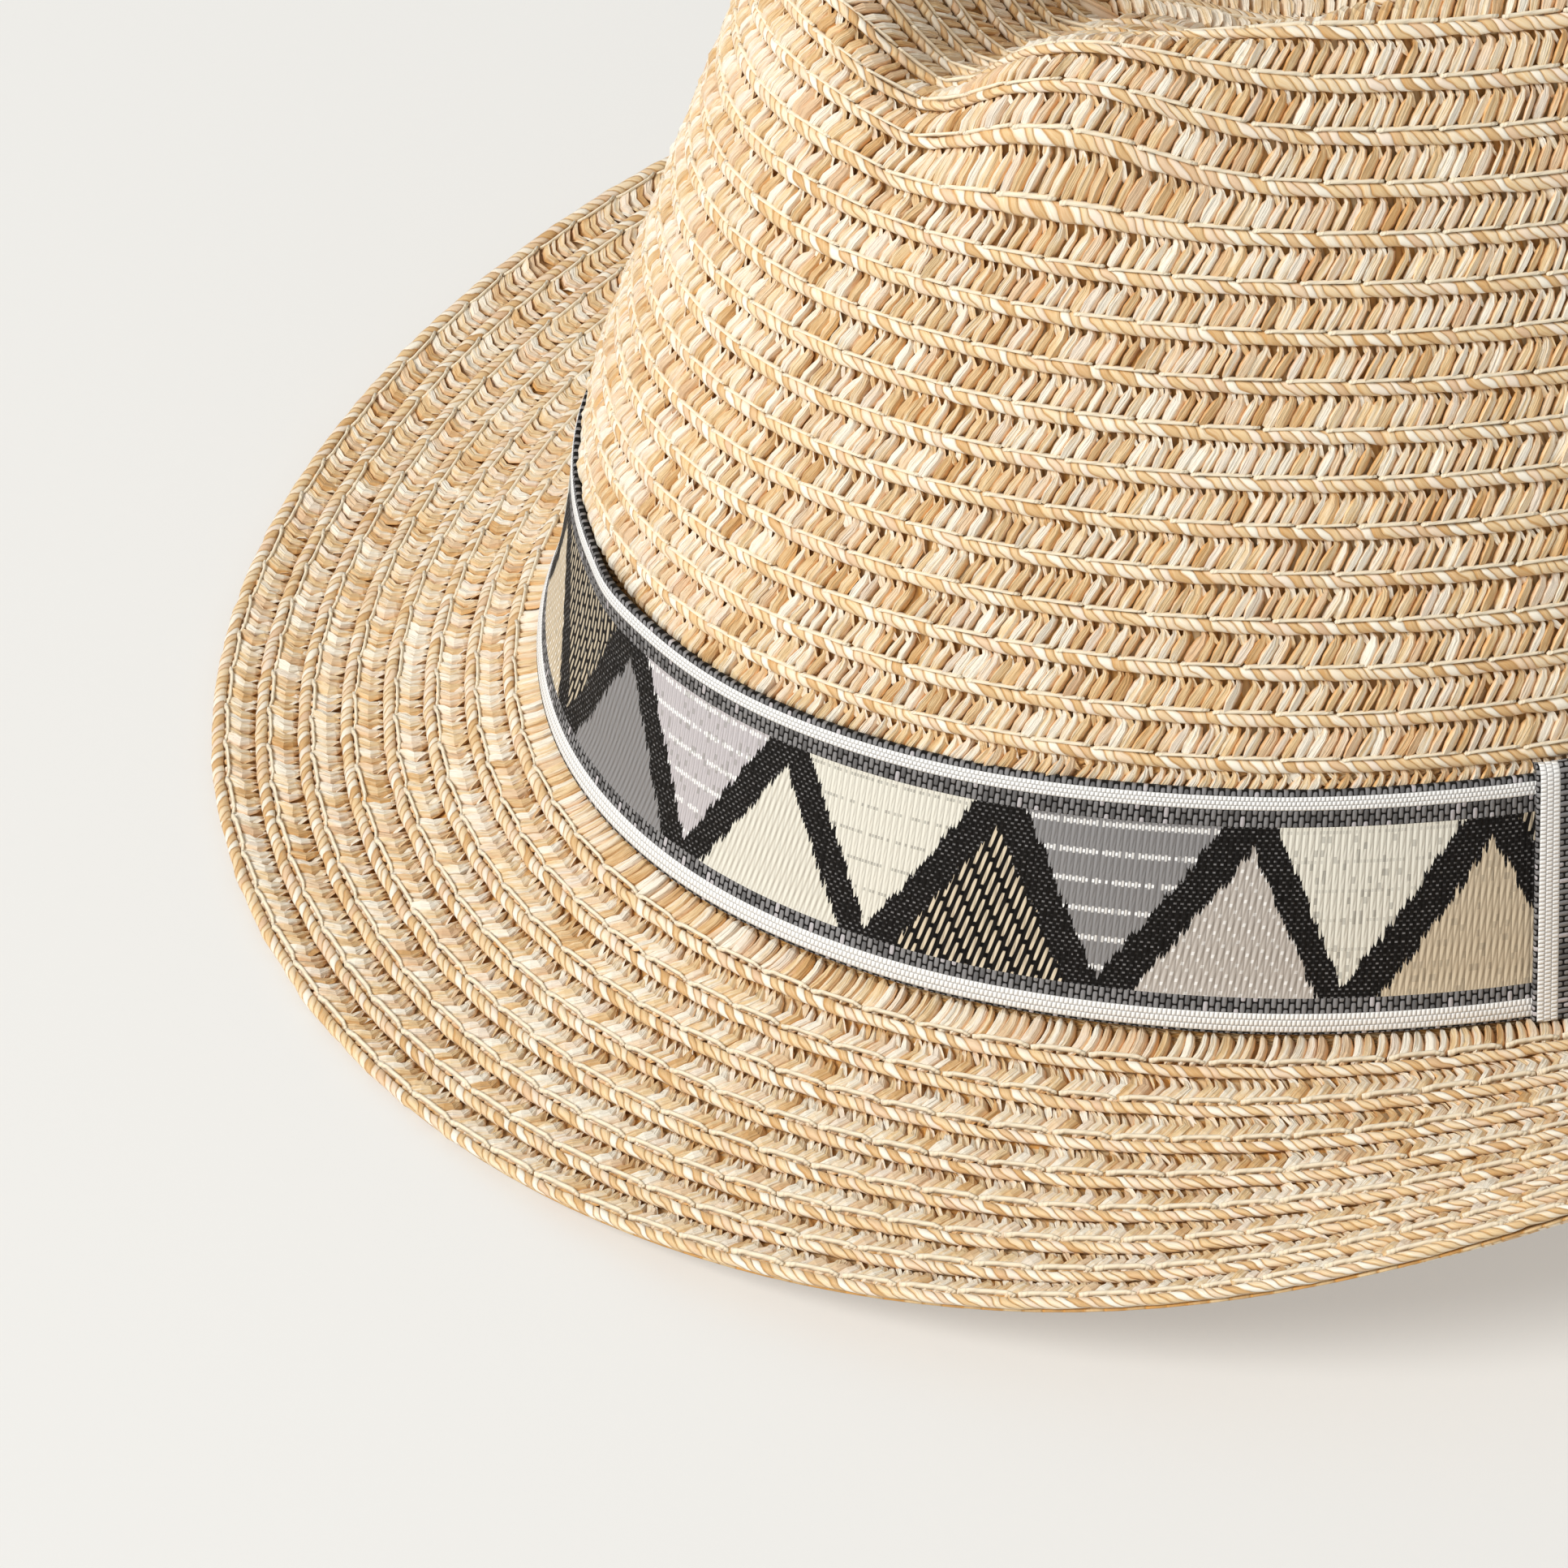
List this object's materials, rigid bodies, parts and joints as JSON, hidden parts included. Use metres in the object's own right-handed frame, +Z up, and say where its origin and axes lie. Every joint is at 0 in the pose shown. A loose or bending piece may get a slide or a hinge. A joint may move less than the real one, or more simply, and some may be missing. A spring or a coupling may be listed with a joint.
{
  "type": "straw trilby hat",
  "caption": "Trilby hat of sewn straw braid with a pinched, hollowed crown, a short turned-up brim and a woven zigzag ribbon held by a ribbon keeper.",
  "frame": {"origin": "middle of the hat's outline seen from above, on the surface it rests on", "axes": "+Z up, -Y towards the front of the hat, +X towards the wearer's left"},
  "size_m": [0.2558, 0.2762, 0.1365],
  "materials": {
    "straw": "natural plaited paper straw, dry, ivory to honey, with a light sewing thread",
    "ribbon": "matte woven ribbon, black zigzag between grey, beige and ivory triangles"
  },
  "bodies": {
    "root": {"straw_body": "straw", "hat_band": "ribbon", "band_keeper": "ribbon"}
  },
  "joints": []
}
